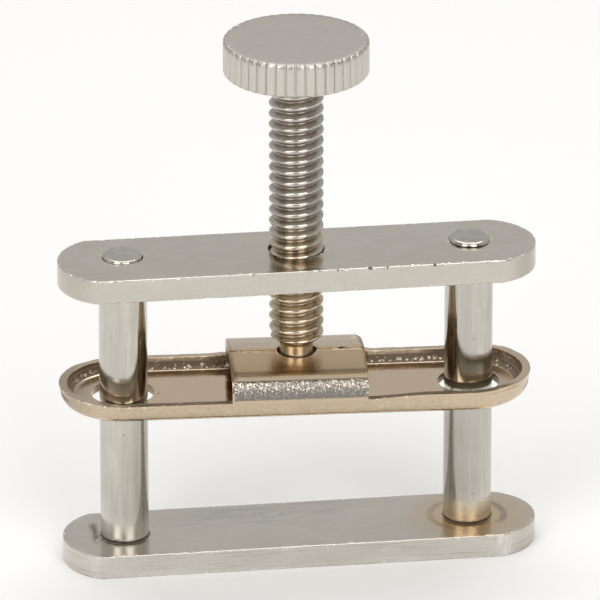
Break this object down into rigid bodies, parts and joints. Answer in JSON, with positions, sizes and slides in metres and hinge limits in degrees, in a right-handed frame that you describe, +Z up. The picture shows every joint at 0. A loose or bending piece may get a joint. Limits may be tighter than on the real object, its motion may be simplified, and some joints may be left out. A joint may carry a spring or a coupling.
{
  "type": "tubing pinch clamp",
  "caption": "Screw clamp for pinching rubber tubing, with flat bars on riveted posts and a folded sheet jaw driven by a knurled thumbscrew.",
  "frame": {"origin": "underside of the base bar, on the screw's axis", "axes": "+Z up along the screw's axis, X along the bars, Y along a tube laid in the clamp"},
  "size_m": [0.0446, 0.0134, 0.0512],
  "materials": {
    "bar_nickel": "worn nickel plate over drawn strip, satin faces with fine scratches",
    "post_nickel": "nickel plate over turned steel, polished, with rust stains at the feet",
    "jaw_nickel": "warm tarnished nickel plate over pressed brass sheet, coarse grain on the bends",
    "screw_nickel": "nickel plate over turned steel, satin head, bright thread that is tarnished lower down"
  },
  "bodies": {
    "frame": {"base_bar": "bar_nickel", "top_bar": "bar_nickel", "left_post": "post_nickel", "right_post": "post_nickel"},
    "jaw": {"moving_jaw": "jaw_nickel"},
    "screw": {"thumbscrew": "screw_nickel"}
  },
  "joints": [
    {"name": "jaw_slide", "type": "slide", "parent": "frame", "child": "jaw", "axis": [0, 0, 1], "range_m": [-0.013, 0.0074]},
    {"name": "screw_turn", "type": "hinge", "parent": "jaw", "child": "screw", "pos_m": [0, 0, 0.0206], "axis": [0, 0, 1], "range_deg": [-4423, 2518]}
  ],
  "couplings": [
    {"joint": "screw_turn", "follows": "jaw_slide", "rad_per_m": 5936.9}
  ]
}
